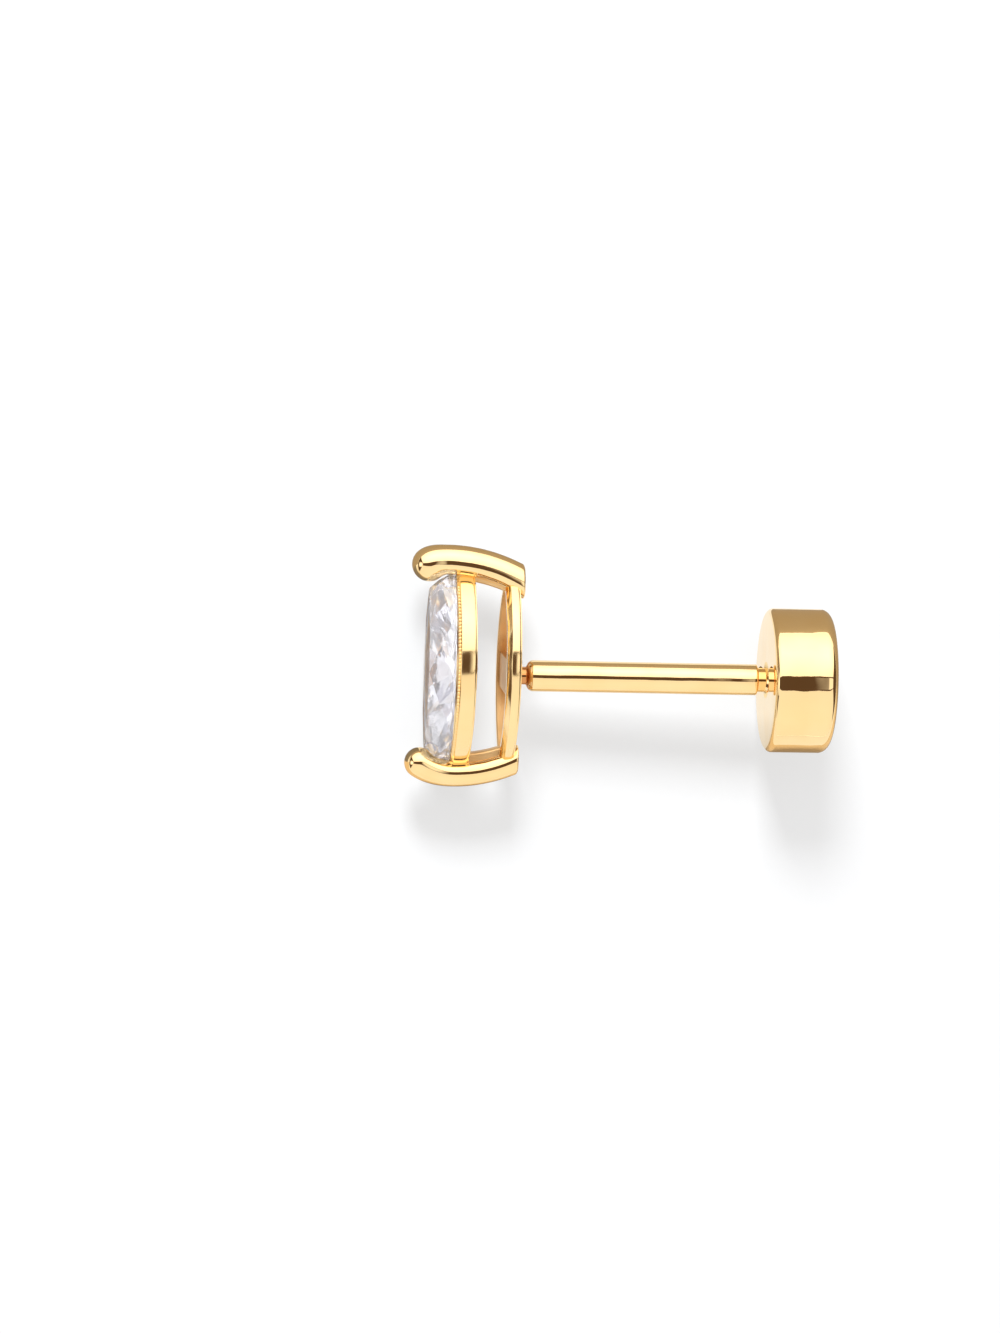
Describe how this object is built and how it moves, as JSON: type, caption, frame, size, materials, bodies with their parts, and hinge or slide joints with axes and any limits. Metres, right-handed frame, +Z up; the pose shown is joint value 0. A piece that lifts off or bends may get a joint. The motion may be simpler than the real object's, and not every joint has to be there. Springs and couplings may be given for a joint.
{
  "type": "screw back stud earring",
  "caption": "Marquise stone in a two-prong open basket of polished gold, on a straight post with a thick round screw-on nut.",
  "frame": {"origin": "on the surface that the stud lies on, under the middle of its bounding box", "axes": "+X runs from the stone to the nut, level, with the post rising 3.25 degrees along it; +Y runs along the stone's long axis; +Z is up"},
  "size_m": [0.0134, 0.0076, 0.0046],
  "materials": {
    "polished_gold": "polished yellow gold plating",
    "clear_stone": "faceted and polished clear cubic zirconia"
  },
  "bodies": {
    "stud": {"setting": "polished_gold", "stone": "clear_stone"},
    "screw_back": {"screw_nut": "polished_gold"}
  },
  "joints": [
    {"name": "nut_unscrew", "type": "slide", "parent": "stud", "child": "screw_back", "axis": [0.9984, 0, 0.0567], "range_m": [0, 0.008]}
  ]
}
